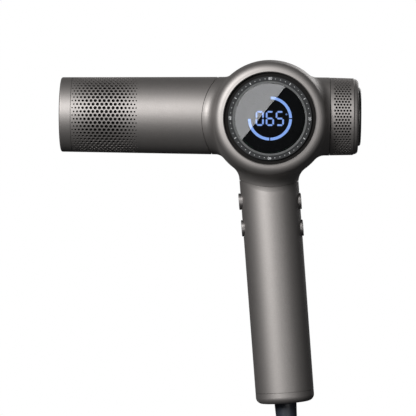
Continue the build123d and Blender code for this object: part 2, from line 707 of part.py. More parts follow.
coil_axis = Plane(
    origin=(COIL_CENTRE_X, 0, COIL_CENTRE_Z), x_dir=(1, 0, 0), z_dir=(0, -1, 0)
).location


def bundle_ring(half_side, corner, degrees):
    """Round-cornered square section turned about the coil's axis."""
    section = Pos(COIL_MEAN_R, 0, 0) * Rot(90, 0, 0) * RectangleRounded(2 * half_side, 2 * half_side, corner)
    return revolve(section, Axis.Z, degrees)


def make_cord_coil():
    return coil_axis * bundle_ring(coil_half, COIL_CORNER, 360)


def make_cord_end():
    """The last stretch of cord, hanging from the side of the coil down to the plug."""
    hanging = Pos(cord_end_x, 0, 0) * disc(CORD_R, PLUG_TOP_Z, COIL_CENTRE_Z - 26)
    return hanging - make_cord_coil()


def make_cord_tie():
    band = bundle_ring(coil_half + TIE_T, CORD_R, TIE_ANGLE) - bundle_ring(coil_half, COIL_CORNER, TIE_ANGLE)
    return coil_axis * Rot(0, 0, 90 - TIE_ANGLE / 2) * band


def make_plug_body():
    collar = extrude(Circle(PLUG_COLLAR_R), -PLUG_COLLAR, taper=-8)
    grip = extrude(RectangleRounded(PLUG_WIDTH, PLUG_DEPTH, 8), PLUG_COLLAR - PLUG_LENGTH, taper=-3)
    return Pos(cord_end_x, 0, PLUG_TOP_Z) * (collar + Pos(0, 0, -PLUG_COLLAR) * grip)


def make_plug_pins():
    end = PLUG_TOP_Z - PLUG_LENGTH
    pins = []
    for y in (-PIN_SPACING / 2, PIN_SPACING / 2):
        pin = disc(PIN_R, end - PIN_LENGTH, end)
        pin = fillet(pin.edges().sort_by(Axis.Z)[0], 1.2)
        pins.append(Pos(cord_end_x, y, 0) * pin)
    return apart(pins)


# ---- Every piece ----
nodes["hub_housing"] = make_hub_housing()
nodes["front_barrel"] = make_front_barrel()
nodes["outlet_ring"] = make_outlet_ring()
nodes["outlet_grille"] = make_outlet_grille()
nodes["heat_shield"] = make_heat_shield()
nodes["heater_boards"] = make_heater_boards()
nodes["heater_coil"] = make_heater_coil()
nodes["heater_mica_tube"] = barrel_axis * ring(MICA_R + 0.6, MICA_R, MICA_START_X - 2, MICA_END_X + 2)
nodes["thermal_cutout"] = make_thermal_cutout()
nodes["air_duct"] = barrel_axis * ring(BORE_R, DUCT_IN_R, DUCT_START_X, COLLAR_START_X)
nodes["motor_mount"] = barrel_axis * ring(DUCT_IN_R, SHROUD_R, -2, 14)
nodes["motor_housing"] = make_motor_housing()
nodes["motor_stator"] = make_stator()
nodes["motor_windings"] = make_windings()
nodes["rotor_bearings"] = apart([make_bearing(MOTOR_START_X), make_bearing(MOTOR_END_X - BEARING_T)])
nodes["rotor_shaft"] = barrel_axis * disc(SHAFT_R, MOTOR_START_X - 1, IMPELLER_END_X + 1)
nodes["rotor_magnet"] = barrel_axis * ring(MAGNET_R, SHAFT_R, 0, 10)
nodes["impeller"] = make_impeller()
nodes["intake_collar"] = make_intake_collar()
nodes["keeper_ring"] = barrel_axis * ring(COLLAR_R, COLLAR_IN_R, COLLAR_END_X - KEEPER_T, COLLAR_END_X)
nodes["intake_grille"] = make_intake_grille()
nodes["cap_sleeve"] = make_cap_sleeve()
nodes["cap_rim"] = make_cap_rim()
nodes["cap_disc"] = make_cap_disc()
nodes["filter_frame"] = make_filter_frame()
nodes["filter_mesh"] = barrel_axis * ring(FILTER_R, FILTER_R - 0.3, FILTER_START_X + 2, CAP_SLEEVE_END_X)
nodes["cap_magnets"] = make_cap_magnets()
nodes["display_carrier"] = make_display_carrier()
nodes["dial_ring"] = make_dial_ring()
nodes["trim_ring"] = make_trim_ring()
nodes["display_glass"] = display_axis * disc(GLASS_R, GLASS_BOTTOM_Y, GLASS_TOP_Y)
nodes["display_board"] = display_axis * disc(GLASS_R - 0.8, CARRIER_FLOOR_Y, CARRIER_FLOOR_Y + BOARD_T)
nodes["light_arcs"] = make_light_arcs()
nodes["display_digits"] = make_display_digits()
nodes["back_cover"] = make_back_cover()
nodes["ion_module"] = block((-14, 8), (-13, 1.5), (-33, -18)) - barrel_axis * disc(BORE_R, -60, 60)
nodes["handle_shell"] = make_handle_shell()
nodes["handle_end_cap"] = make_handle_end_cap()
for name, (side, height, lift) in BUTTONS.items():
    nodes[name] = make_button(side, height, lift)
nodes["handle_chassis"] = make_handle_chassis()
nodes["switch_carrier"] = make_switch_carrier()
nodes["switch_boards"] = apart([make_switch_board(-1), make_switch_board(1)])
nodes["tact_switches"] = make_switches()
nodes["main_board"] = make_main_board()
nodes["inner_screws"] = apart([make_board_screws(), make_clamp_screws()])
nodes["heat_sink"] = make_heat_sink()
nodes["board_components"] = make_board_components()
nodes["cord_clamp"] = make_clamp()
nodes["strain_relief"] = make_strain_relief()
nodes["cord_core"] = handle_axis * disc(CORD_R, HANDLE_FOOT + FOOT_FLOOR + 2, CLAMP_FOOT + 8)
nodes["inner_leads"] = apart([make_mains_leads(), make_motor_leads()])
nodes["cord_lead"] = cord_tube("cord_lead", lead_points()) - make_cord_coil()
nodes["cord_coil"] = make_cord_coil()
nodes["cord_end"] = make_cord_end()
nodes["cord_tie"] = make_cord_tie()
nodes["plug_body"] = make_plug_body()
nodes["plug_pins"] = make_plug_pins()

os.makedirs("parts", exist_ok=True)
for name, shape in nodes.items():
    export_step(grip_to_origin * shape, f"parts/{name}.step")
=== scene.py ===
import bpy
import math
from mathutils import Matrix, Vector


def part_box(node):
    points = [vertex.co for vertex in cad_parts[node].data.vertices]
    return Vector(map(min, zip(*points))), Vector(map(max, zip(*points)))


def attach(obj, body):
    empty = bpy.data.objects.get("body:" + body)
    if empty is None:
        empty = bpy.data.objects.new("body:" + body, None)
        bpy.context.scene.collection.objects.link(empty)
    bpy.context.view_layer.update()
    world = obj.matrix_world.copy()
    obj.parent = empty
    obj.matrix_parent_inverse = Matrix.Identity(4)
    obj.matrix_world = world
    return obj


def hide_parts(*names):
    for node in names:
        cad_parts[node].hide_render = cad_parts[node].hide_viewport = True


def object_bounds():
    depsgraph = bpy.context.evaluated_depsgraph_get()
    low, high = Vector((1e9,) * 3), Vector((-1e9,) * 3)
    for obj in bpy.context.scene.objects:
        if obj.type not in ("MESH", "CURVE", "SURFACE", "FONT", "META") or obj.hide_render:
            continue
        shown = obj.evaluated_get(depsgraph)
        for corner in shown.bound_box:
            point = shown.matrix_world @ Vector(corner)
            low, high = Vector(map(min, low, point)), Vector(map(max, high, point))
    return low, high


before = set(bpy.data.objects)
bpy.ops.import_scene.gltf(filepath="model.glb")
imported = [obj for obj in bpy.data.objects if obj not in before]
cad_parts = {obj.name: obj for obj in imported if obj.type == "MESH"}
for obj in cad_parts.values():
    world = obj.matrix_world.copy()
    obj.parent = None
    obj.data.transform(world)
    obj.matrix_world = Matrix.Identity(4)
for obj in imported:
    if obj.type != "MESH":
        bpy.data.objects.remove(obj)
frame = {"nodes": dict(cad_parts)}
cad_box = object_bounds()

# Looks for a handheld hair dryer: satin metallic shell with rows of small holes, a dark dial with
# blue lights, and a cord that hangs from the handle into a strapped coil.  Metres, Z up.
MM = 0.001


def middle(node):
    low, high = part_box(node)
    return (Vector(low) + Vector(high)) / 2


# ---- Places taken from the frame ----
DIAL = middle("dial_ring")                       # centre of the display
BARREL_Z = middle("cap_sleeve").z                # height of the barrel's axis
TILT = math.radians(4.75)                        # lean of the handle
GRIP_DROP = 120.2 * MM                           # from the hub's level to the origin, along the handle
RELIEF_START = 197.7 * MM                        # foot of the handle, along its axis
RELIEF_END = 252.7 * MM
OUTLET_SEAM_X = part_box("front_barrel")[0][0]
SEAM_R = 47 * MM                                 # curved seams are cut round the display's axis
COIL = middle("cord_coil")
CORD_D = 8 * MM
TUBE_WALL = 0.8 * MM                             # sheet of the perforated tubes


def on_handle(drop, across=0.0, y=0.0):
    """Point near the handle's axis, at a distance along it below the hub's level."""
    along = Vector((math.sin(TILT), 0, -math.cos(TILT))) * (drop - GRIP_DROP)
    return along + Vector((math.cos(TILT), 0, math.sin(TILT))) * across + Vector((0, y, 0))


# ---- Camera ----
def make_camera():
    distance = 1.8
    drop = 61.8 * MM                             # below the display's middle
    aim_left = 42.8 * MM
    data = bpy.data.cameras.new("camera")
    data.lens = 222.5
    data.sensor_width = 36
    camera = bpy.data.objects.new("camera", data)
    bpy.context.scene.collection.objects.link(camera)
    camera.location = (DIAL.x, -distance, DIAL.z - drop)
    target = Vector((DIAL.x - aim_left, 0, DIAL.z - drop))
    look = (target - camera.location).to_track_quat("-Z", "Y").to_matrix().to_4x4()
    roll = Matrix.Rotation(math.radians(0.5), 4, "Z")
    camera.matrix_world = Matrix.Translation(camera.location) @ look @ roll
    bpy.context.scene.camera = camera


# ---- Meshes ----
def add_mesh(name, points, faces, body="casing", sharp=35, slot=None):
    """Smooth-shaded piece that rides a body; edges over sharp degrees stay crisp."""
    mesh = bpy.data.meshes.new(name)
    mesh.from_pydata([tuple(p) for p in points], [], faces)
    mesh.validate()
    mesh.shade_smooth()
    mesh.set_sharp_from_angle(angle=math.radians(sharp))
    piece = bpy.data.objects.new(name, mesh)
    bpy.context.scene.collection.objects.link(piece)
    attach(piece, body)
    return piece


def placed(shape, matrix):
    points, faces = shape
    return [matrix @ Vector(p) for p in points], faces


def merged(*shapes):
    points, faces = [], []
    for more_points, more_faces in shapes:
        base = len(points)
        points.extend(more_points)
        faces.extend([tuple(base + i for i in face) for face in more_faces])
    return points, faces


def turned(outline, steps=128, span=360.0):
    """Closed (radius, height) outline turned about Z; a part turn gets flat ends."""
    whole = span >= 360
    rows = steps if whole else steps + 1
    points = []
    for i in range(rows):
        angle = math.radians(span) * i / steps
        points += [Vector((r * math.cos(angle), r * math.sin(angle), z)) for r, z in outline]
    count = len(outline)
    faces = []
    for i in range(steps):
        a, b = i * count, ((i + 1) % rows) * count
        for k in range(count):
            n = (k + 1) % count
            faces.append((a + k, b + k, b + n, a + n))
    if not whole:
        faces.append(tuple(range(count))[::-1])
        faces.append(tuple(range(steps * count, (steps + 1) * count)))
    return points, faces


def solid_disc(outline, steps=96):
    """Like turned, for an outline whose first and last points lie on the axis."""
    points = [Vector((0, 0, outline[0][1]))]
    ring_outline = outline[1:-1]
    count = len(ring_outline)
    for i in range(steps):
        angle = 2 * math.pi * i / steps
        points += [Vector((r * math.cos(angle), r * math.sin(angle), z)) for r, z in ring_outline]
    points.append(Vector((0, 0, outline[-1][1])))
    last = len(points) - 1
    faces = []
    for i in range(steps):
        a, b = 1 + i * count, 1 + ((i + 1) % steps) * count
        faces.append((0, b, a))
        faces.append((last, a + count - 1, b + count - 1))
        for k in range(count - 1):
            faces.append((a + k, b + k, b + k + 1, a + k + 1))
    return points, faces


def prism(outline, low, high):
    """Flat outline of (x, y) points, anticlockwise, raised from z = low to z = high."""
    count = len(outline)
    points = [Vector((x, y, low)) for x, y in outline] + [Vector((x, y, high)) for x, y in outline]
    faces = [tuple(range(count))[::-1], tuple(range(count, 2 * count))]
    faces += [(k, (k + 1) % count, count + (k + 1) % count, count + k) for k in range(count)]
    return points, faces


def rounded_outline(width, height, corner, steps=6):
    outline = []
    for sx, sy, start in ((1, 1, 0), (-1, 1, 90), (-1, -1, 180), (1, -1, 270)):
        for k in range(steps + 1):
            angle = math.radians(start + 90 * k / steps)
            outline.append((sx * (width / 2 - corner) + corner * math.cos(angle),
                            sy * (height / 2 - corner) + corner * math.sin(angle)))
    return outline


def lofted(sections):
    """Closed skin over rings of points with the same count, bottom to top."""
    count = len(sections[0])
    points = [Vector(p) for section in sections for p in section]
    faces = [tuple(range(count))[::-1]]
    for i in range(len(sections) - 1):
        a, b = i * count, (i + 1) * count
        faces += [(a + k, a + (k + 1) % count, b + (k + 1) % count, b + k) for k in range(count)]
    top = (len(sections) - 1) * count
    faces.append(tuple(range(top, top + count)))
    return points, faces


# Local frames: Z out of the display, and Z up the handle.
FROM_DISPLAY = Matrix(((1, 0, 0, DIAL.x), (0, 0, -1, 0), (0, 1, 0, DIAL.z), (0, 0, 0, 1)))
FROM_HANDLE = Matrix((
    (math.cos(TILT), 0, -math.sin(TILT), 0),
    (0, 1, 0, 0),
    (math.sin(TILT), 0, math.cos(TILT), 0),
    (0, 0, 0, 1)))


# ---- Perforated tubes ----
HOLE_SIDES = 12


class PerforatedTube:
    """Tube along X with a hole in every second cell of a stations-by-rows grid, like brickwork.

    stations are the X positions of the half steps; hole_at gives a hole's radius from 0..1 along
    them.  front_ends and rear_ends are functions of height that give the plain ends' X positions,
    ordered away from the holes, each with how far its rim is sunk.
    """

    def __init__(self, stations, rows, radius_at, hole_at, front_ends, rear_ends):
        self.stations, self.rows = stations, rows
        self.radius_at, self.hole_at = radius_at, hole_at
        self.last = len(stations) - 1
        self.points, self.faces, self.where = [], [], {}
        for j in range(rows):
            first = 1 if j % 2 == 0 else 2
            for s in range(first, self.last, 2):
                self.punch_cell(s, j)
            if first == 2:
                self.fill_half_cells(j)
            self.close_end(j, "front", front_ends, 0)
            self.close_end(j, "rear", rear_ends, self.last)

    def turn_of(self, j):
        return 2 * math.pi * (j % self.rows) / self.rows

    def add(self, key, x, angle, depth):
        """Number of the point with this key, made the first time it's asked for."""
        if key not in self.where:
            r = self.radius_at(x) - depth
            self.where[key] = len(self.points)
            self.points.append(Vector((x, r * math.sin(angle), BARREL_Z - r * math.cos(angle))))
        return self.where[key]

    def grid(self, layer, s, j):
        return self.add((layer, s, j % self.rows), self.stations[s], self.turn_of(j), layer * TUBE_WALL)

    def end_point(self, layer, tag, ends, k, j):
        place, sink = ends[k]
        angle = self.turn_of(j)
        rim = self.radius_at(self.stations[0 if tag == "front" else -1])
        depth = TUBE_WALL if layer else sink
        return self.add((layer, tag, k, j % self.rows), place(-rim * math.cos(angle)), angle, depth)

    def face(self, layer, loop):
        self.faces.append(tuple(loop) if layer == 0 else tuple(reversed(loop)))

    def hole_ring(self, layer, s, j):
        centre = self.stations[s]
        size = self.hole_at(s / self.last)
        mid_angle = 2 * math.pi * (j + 0.5) / self.rows
        ring = []
        for k in range(HOLE_SIDES):
            a = 2 * math.pi * k / HOLE_SIDES
            x = centre + size * math.cos(a)
            angle = mid_angle + size * math.sin(a) / self.radius_at(centre)
            ring.append(self.add((layer, "hole", s, j, k), x, angle, layer * TUBE_WALL))
        return ring

    def punch_cell(self, s, j):
        """Cell two half steps long, with a hole through both skins."""
        rings = []
        for layer in (0, 1):
            ring = self.hole_ring(layer, s, j)
            rings.append(ring)
            corners = {
                1: self.grid(layer, s + 1, j + 1), 3: self.grid(layer, s, j + 1),
                5: self.grid(layer, s - 1, j + 1), 7: self.grid(layer, s - 1, j),
                9: self.grid(layer, s, j), 11: self.grid(layer, s + 1, j),
            }
            for k in corners:
                n = (k + 2) % HOLE_SIDES
                self.face(layer, [corners[k], corners[n], ring[n], ring[(k + 1) % HOLE_SIDES], ring[k]])
        for k in range(HOLE_SIDES):
            n = (k + 1) % HOLE_SIDES
            self.faces.append((rings[0][k], rings[0][n], rings[1][n], rings[1][k]))

    def fill_half_cells(self, j):
        for s in (0, self.last - 1):
            for layer in (0, 1):
                self.face(layer, [self.grid(layer, s, j), self.grid(layer, s + 1, j),
                                  self.grid(layer, s + 1, j + 1), self.grid(layer, s, j + 1)])

    def close_end(self, j, tag, ends, edge):
        """Plain bands from the holes out to one end, and the lip that joins the two skins."""
        def ordered(loop):
            return loop if tag == "rear" else loop[::-1]

        for layer in (0, 1):
            inner = (self.grid(layer, edge, j), self.grid(layer, edge, j + 1))
            for k in range(len(ends)):
                outer = (self.end_point(layer, tag, ends, k, j), self.end_point(layer, tag, ends, k, j + 1))
                self.face(layer, ordered([inner[0], outer[0], outer[1], inner[1]]))
                inner = outer
        k = len(ends) - 1
        lip = [self.end_point(0, tag, ends, k, j), self.end_point(1, tag, ends, k, j),
               self.end_point(1, tag, ends, k, j + 1), self.end_point(0, tag, ends, k, j + 1)]
        self.faces.append(tuple(ordered(lip)))


def make_front_barrel():
    outlet_r, hub_r = 26.1 * MM, 27.5 * MM
    outlet_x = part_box("outlet_ring")[0][0]
    slope = (hub_r - outlet_r) / (DIAL.x - outlet_x)
    start, end = DIAL.x - 137.8 * MM, DIAL.x - 91.4 * MM      # perforated zone
    half_steps = 34                              # two for each of the 17 holes in a row
    least_hole, hole_growth = 0.38 * MM, 0.84 * MM            # holes and steps are largest midway
    least_step, step_growth = 2.1, 1.1
    weights = [least_step + step_growth * math.sin(math.pi * (k + 0.5) / half_steps)
               for k in range(half_steps)]
    stations = [start]
    for weight in weights:
        stations.append(stations[-1] + weight * (end - start) / sum(weights))
    tube = PerforatedTube(
        stations=stations,
        rows=64,
        radius_at=lambda x: outlet_r + slope * (x - outlet_x),
        hole_at=lambda t: least_hole + hole_growth * math.sin(math.pi * t) ** 0.8,
        front_ends=[(lambda z: OUTLET_SEAM_X + 0.12 * MM, 0.0), (lambda z: OUTLET_SEAM_X, 0.35 * MM)],
        rear_ends=[
            (lambda z: DIAL.x - 60 * MM, 0.0),
            (lambda z: curved_seam(z) - 0.25 * MM, 0.0),
            (lambda z: curved_seam(z) - 0.1 * MM, 0.4 * MM),
        ],
    )
    barrel = add_mesh("perforated_barrel", tube.points, tube.faces, slot="body_metal")
    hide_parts("front_barrel")
    return barrel


def curved_seam(height):
    """X of the seam in front of the hub, at a height over the barrel's axis."""
    over_hub = height + BARREL_Z - DIAL.z
    return DIAL.x - math.sqrt(SEAM_R ** 2 - over_hub ** 2)


def make_cap_sleeve():
    low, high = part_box("cap_sleeve")
    start_r, end_r = 27.2 * MM, 26.8 * MM
    slope = (end_r - start_r) / (high[0] - low[0])
    half_steps, step, hole_r = 12, 1.07 * MM, 0.80 * MM
    first = DIAL.x + 43.75 * MM
    tube = PerforatedTube(
        stations=[first + step * k for k in range(half_steps + 1)],
        rows=80,
        radius_at=lambda x: start_r + slope * (x - low[0]),
        hole_at=lambda t: hole_r,
        front_ends=[(lambda z: low[0] + 0.2 * MM, 0.0), (lambda z: low[0], 0.3 * MM)],
        rear_ends=[(lambda z: high[0] - 0.1 * MM, 0.0), (lambda z: high[0], 0.15 * MM)],
    )
    sleeve = add_mesh("perforated_sleeve", tube.points, tube.faces, body="filter_cap", slot="body_metal")
    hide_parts("cap_sleeve")
    return sleeve


# ---- Display ----
DIAL_FRONT = 37.0 * MM                           # heights here are over the hub's middle plane
MARKS_R = 27.25 * MM
MARKS = 48                                       # places round the dial


def make_trim_ring():
    outline = [   # radius and height in mm, with a groove between two lips
        (24.5, 31.6), (25.7, 31.6), (25.7, 37.15), (25.45, 37.4), (25.15, 37.4), (24.95, 37.2),
        (24.8, 37.2), (24.65, 37.35), (24.4, 37.35), (24.15, 37.1), (24.15, 36.45), (24.5, 36.4)]
    shape = placed(turned([(r * MM, z * MM) for r, z in outline]), FROM_DISPLAY)
    ring = add_mesh("trim_band", *shape, slot="trim_metal", sharp=25)
    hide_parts("trim_ring")
    return ring


def make_dial_marks():
    """Dots and short bars printed on the dial ring; numerals take four of the bars' places."""
    low, high = DIAL_FRONT - 0.03 * MM, DIAL_FRONT + 0.06 * MM
    half_width, half_length, dot_r = 0.2 * MM, 0.75 * MM, 0.24 * MM
    bar = prism([(-half_width, -half_length), (half_width, -half_length),
                 (half_width, half_length), (-half_width, half_length)], low, high)
    dot = prism([(dot_r * math.cos(a), dot_r * math.sin(a))
                 for a in (math.radians(30 * k) for k in range(12))], low, high)
    shapes = []
    for k in range(MARKS):
        if k % 12 == 0:
            continue
        turn = Matrix.Rotation(-2 * math.pi * k / MARKS, 4, "Z") @ Matrix.Translation((0, MARKS_R, 0))
        shapes.append(placed(bar if k % 4 == 0 else dot, turn))
    return add_mesh("dial_marks", *placed(merged(*shapes), FROM_DISPLAY), slot="trim_metal")


def make_dial_numerals():
    numerals = []
    for k, label in enumerate(("80", "20", "40", "60")):
        curve = bpy.data.curves.new("numeral_curve", "FONT")
        curve.body = label
        curve.size = 2.5 * MM
        curve.extrude = 0.05 * MM
        curve.align_x = "CENTER"
        curve.align_y = "CENTER"
        text = bpy.data.objects.new("numeral_text", curve)
        bpy.context.scene.collection.objects.link(text)
        bpy.context.view_layer.update()
        mesh = bpy.data.meshes.new_from_object(text)
        bpy.data.objects.remove(text)
        turn = Matrix.Rotation(-math.radians(90 * k), 4, "Z") @ Matrix.Translation((0, MARKS_R, DIAL_FRONT))
        mesh.transform(FROM_DISPLAY @ turn)
        piece = bpy.data.objects.new(f"dial_numeral_{label}", mesh)
        bpy.context.scene.collection.objects.link(piece)
        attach(piece, "casing")
        numerals.append(piece)
    return numerals


LIGHT_LOW, LIGHT_HIGH = 35.6 * MM, 35.88 * MM
SEGMENTS = {"0": "abcdef", "5": "acdfg", "6": "acdefg"}
DIGIT_CENTRES = (-7.0 * MM, 0.0, 6.8 * MM)


def segment(length, width):
    """Bar of a seven-segment digit with its corners cut, upright."""
    half, side = length / 2, width / 2
    cut = side * 0.7
    outline = [(side - cut, -half), (side, cut - half), (side, half - cut), (side - cut, half),
               (cut - side, half), (-side, half - cut), (-side, cut - half), (cut - side, -half)]
    return prism(outline, LIGHT_LOW, LIGHT_HIGH)


def make_digits():
    height, width, stroke = 10.3 * MM, 5.7 * MM, 1.2 * MM
    side, half = (width - stroke) / 2, (height - stroke) / 2
    upright, level = half - 0.8 * MM, width - stroke - 0.9 * MM
    places = {
        "a": (0, half, True), "b": (side, half / 2, False), "c": (side, -half / 2, False),
        "d": (0, -half, True), "e": (-side, -half / 2, False), "f": (-side, half / 2, False),
        "g": (0, 0, True),
    }
    shapes = []
    for centre, digit in zip(DIGIT_CENTRES, "065"):
        for letter in SEGMENTS[digit]:
            x, y, flat = places[letter]
            bar = segment(level if flat else upright, stroke)
            turn = Matrix.Rotation(math.radians(90), 4, "Z") if flat else Matrix.Identity(4)
            shapes.append(placed(bar, Matrix.Translation((centre + x, y, 0)) @ turn))
    inner, outer = 0.3 * MM, 0.55 * MM           # degree sign
    degree = [(inner, LIGHT_LOW), (outer, LIGHT_LOW), (outer, LIGHT_HIGH), (inner, LIGHT_HIGH)]
    shapes.append(placed(turned(degree, steps=24), Matrix.Translation((11.3 * MM, 2.9 * MM, 0))))
    digits = add_mesh("lit_digits", *placed(merged(*shapes), FROM_DISPLAY), slot="lit_blue")
    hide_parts("display_digits")
    return digits


def make_arcs():
    """Three lit quarters, clockwise from the top, and the fourth one unlit."""
    inner, outer = 13.2 * MM, 15.1 * MM
    outline = [(inner, LIGHT_LOW), (outer, LIGHT_LOW), (outer, LIGHT_HIGH), (inner, LIGHT_HIGH)]
    gap = 1.6                                    # degrees left dark at each end of a quarter
    quarters = []
    for start in (0, -90, -180, 90):
        turn = Matrix.Rotation(math.radians(start + gap), 4, "Z")
        quarters.append(placed(turned(outline, steps=32, span=90 - 2 * gap), turn))
    lit = add_mesh("lit_arcs", *placed(merged(*quarters[:3]), FROM_DISPLAY), slot="lit_blue")
    unlit = add_mesh("unlit_arc", *placed(quarters[3], FROM_DISPLAY), slot="lit_blue")
    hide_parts("light_arcs")
    return lit, unlit


def make_display_mask():
    """Black printed film behind the glass, under the lights."""
    radius, low, high = 23.2 * MM, 35.2 * MM, LIGHT_LOW
    shape = placed(solid_disc([(0, low), (radius, low), (radius, high), (0, high)]), FROM_DISPLAY)
    return add_mesh("display_mask", *shape, slot="chip_black")


# ---- Strain relief, cord and plug ----
def make_strain_relief():
    """Tapered rubber sleeve: a smooth collar, then bending slots between ribs."""
    length = RELIEF_END - RELIEF_START
    start_r, end_r = 7.8 * MM, 5.2 * MM
    ribs, collar = 9, 14 * MM
    pitch = (length - collar - 4 * MM) / ribs
    slot_depth = 1.1 * MM
    flange_r, flange_low, flange_high = 8.8 * MM, 2.0 * MM, 3.5 * MM     # held inside the handle's end

    def radius(depth):
        return start_r + (end_r - start_r) * depth / length

    outline = [(0.0, flange_high), (flange_r, flange_high), (flange_r, flange_low), (radius(0), 1.9 * MM)]
    outline += [(radius(0), 0.0), (radius(collar), -collar)]
    for k in range(ribs):
        top = collar + k * pitch
        sunk = radius(top) - slot_depth
        outline += [(sunk, -top - 0.35 * MM), (sunk, -top - 0.4 * pitch),
                    (radius(top + 0.5 * pitch), -top - 0.5 * pitch),
                    (radius(top + pitch), -top - 0.98 * pitch)]
    outline += [(end_r, -length + 0.6 * MM), (end_r - 0.5 * MM, -length), (0.0, -length)]
    lift = Matrix.Translation((0, 0, GRIP_DROP - RELIEF_START))
    sleeve = add_mesh("relief_sleeve", *placed(solid_disc(outline[::-1], steps=64), FROM_HANDLE @ lift),
                      slot="cord_rubber", sharp=50)
    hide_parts("strain_relief")
    return sleeve


# Radius and Y of each turn's place in the bundle, in mm.
COIL_SLOTS = [(54, 0), (54, -8), (46, -8), (38, -8), (38, 0), (46, 0), (46, 8), (38, 8), (54, 8)]
LAST_TURN = len(COIL_SLOTS) - 1                  # only its first sixth is there
COIL_ENTRY = 60                                  # degrees above the level of the coil's middle
POINTS_PER_TURN = 18
MOVE_FROM, MOVE_PART = 0.86, 0.14                # part of a turn that moves over to the next place
SPLINE_ALLOWANCE = 1.012                            # the spline runs a little inside its points


def coil_points():
    """Turns of the put-away cord, moving over to the next place of the bundle under the strap."""
    points = []
    total = LAST_TURN * POINTS_PER_TURN + POINTS_PER_TURN // 6
    for k in range(total + 1):
        turns = k / POINTS_PER_TURN
        turn = min(int(turns), LAST_TURN)
        part = turns - turn
        blend = 0.0 if turn == LAST_TURN else min(max((part - MOVE_FROM) / MOVE_PART, 0.0), 1.0)
        here, there = COIL_SLOTS[turn], COIL_SLOTS[min(turn + 1, LAST_TURN)]
        radius, y = (a + (b - a) * blend for a, b in zip(here, there))
        radius *= SPLINE_ALLOWANCE
        angle = math.radians(COIL_ENTRY) - 2 * math.pi * turns
        points.append(COIL + Vector((radius * MM * math.cos(angle), y * MM, radius * MM * math.sin(angle))))
    return points


def cord_route():
    """From the strain relief down into the coil, then from the coil down into the plug."""
    start = on_handle(RELIEF_END)
    lead = [(0, 0), (2.07, -24.9), (8.8, -45.5), (21.0, -63.0)]      # X and Z from the exit, in mm
    points = [start + Vector((x * MM, 0, z * MM)) for x, z in lead]
    points += coil_points()
    plug_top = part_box("plug_body")[1][2]
    end_x = middle("plug_body").x
    points += [Vector((end_x, 7 * MM, COIL.z - 20 * MM)), Vector((end_x, 2 * MM, COIL.z - 40 * MM)),
               Vector((end_x, 0, plug_top + 6 * MM)), Vector((end_x, 0, plug_top - 2 * MM))]
    return points


def make_cord():
    curve = bpy.data.curves.new("mains_cord", "CURVE")
    curve.dimensions = "3D"
    spline = curve.splines.new("NURBS")
    points = cord_route()
    spline.points.add(len(points) - 1)
    for point, place in zip(spline.points, points):
        point.co = (*place, 1)
        point.radius = CORD_D / 2
    spline.order_u = 3
    spline.use_endpoint_u = True
    spline.resolution_u = 8
    curve.bevel_depth = 1.0                      # times each point's radius
    curve.bevel_resolution = 5
    curve.use_fill_caps = True
    cord = bpy.data.objects.new("mains_cord", curve)
    bpy.context.scene.collection.objects.link(cord)
    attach(cord, "casing")
    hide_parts("cord_lead", "cord_coil", "cord_end")
    return cord


def centre_out(point, section, distance):
    """The point moved away from its section's middle."""
    centre = sum(section, Vector()) / len(section)
    return point + (point - centre).normalized() * distance


def strap_sections(steps):
    """Square-ended loops round the bundle, side by side over the top of the coil."""
    half, corner, bundle_r, half_span = 12.3 * MM, 4.0 * MM, 46 * MM, 10
    sections = []
    for k in range(steps + 1):
        angle = math.radians(90 - half_span + 2 * half_span * k / steps)
        out = Vector((math.cos(angle), 0, math.sin(angle)))
        centre = COIL + out * bundle_r
        outline = rounded_outline(2 * half, 2 * half, corner)
        sections.append([centre + out * u + Vector((0, v, 0)) for u, v in outline])
    return sections


def make_strap():
    """Closed strap round the coil's bundle."""
    steps, thickness = 12, 1.2 * MM
    sections = strap_sections(steps)
    outer = [[centre_out(p, section, thickness) for p in section] for section in sections]
    count = len(sections[0])
    points = [p for section in outer for p in section] + [p for section in sections for p in section]
    base = len(outer) * count
    faces = []
    for i in range(steps):
        for k in range(count):
            n = (k + 1) % count
            a, b, c, d = i * count + k, i * count + n, (i + 1) * count + n, (i + 1) * count + k
            faces.append((a, d, c, b))
            faces.append((base + a, base + b, base + c, base + d))
    end = steps * count
    for k in range(count):
        n = (k + 1) % count
        faces.append((k, n, base + n, base + k))
        faces.append((end + n, end + k, base + end + k, base + end + n))
    strap = add_mesh("cord_strap", points, faces, slot="cord_rubber", sharp=60)
    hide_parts("cord_tie")
    return strap


def make_plug():
    """Two-pole moulded plug with a waist for the fingers."""
    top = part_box("plug_body")[1][2]
    centre = middle("plug_body")
    stages = [   # height below the top, half-width X, half-width Y, corner, all in mm
        (0.0, 5.2, 5.2, 5.1), (0.5, 5.8, 5.8, 5.7), (5.0, 6.4, 6.4, 6.2), (9.0, 7.0, 7.6, 6.6),
        (12.0, 8.6, 11.0, 7.6), (15.0, 10.2, 14.4, 8.2), (19.0, 10.8, 15.8, 8.4), (25.0, 10.2, 15.4, 8.2),
        (31.0, 11.2, 16.8, 8.4), (36.5, 12.0, 17.4, 8.2), (37.6, 11.8, 17.2, 8.0), (38.0, 11.2, 16.6, 7.6),
    ]
    sections = []
    for depth, half_x, half_y, corner in stages[::-1]:
        outline = rounded_outline(2 * half_x * MM, 2 * half_y * MM, corner * MM)
        sections.append([(centre.x + x, y, top - depth * MM) for x, y in outline])
    plug = add_mesh("plug_shell", *lofted(sections), slot="cord_rubber", sharp=60)
    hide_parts("plug_body")
    return plug


# ---- Materials ----
def shader(name):
    """New material with its nodes, links and main shader."""
    material = bpy.data.materials.new(name)
    material.use_nodes = True
    nodes, links = material.node_tree.nodes, material.node_tree.links
    return material, nodes, links, nodes["Principled BSDF"]


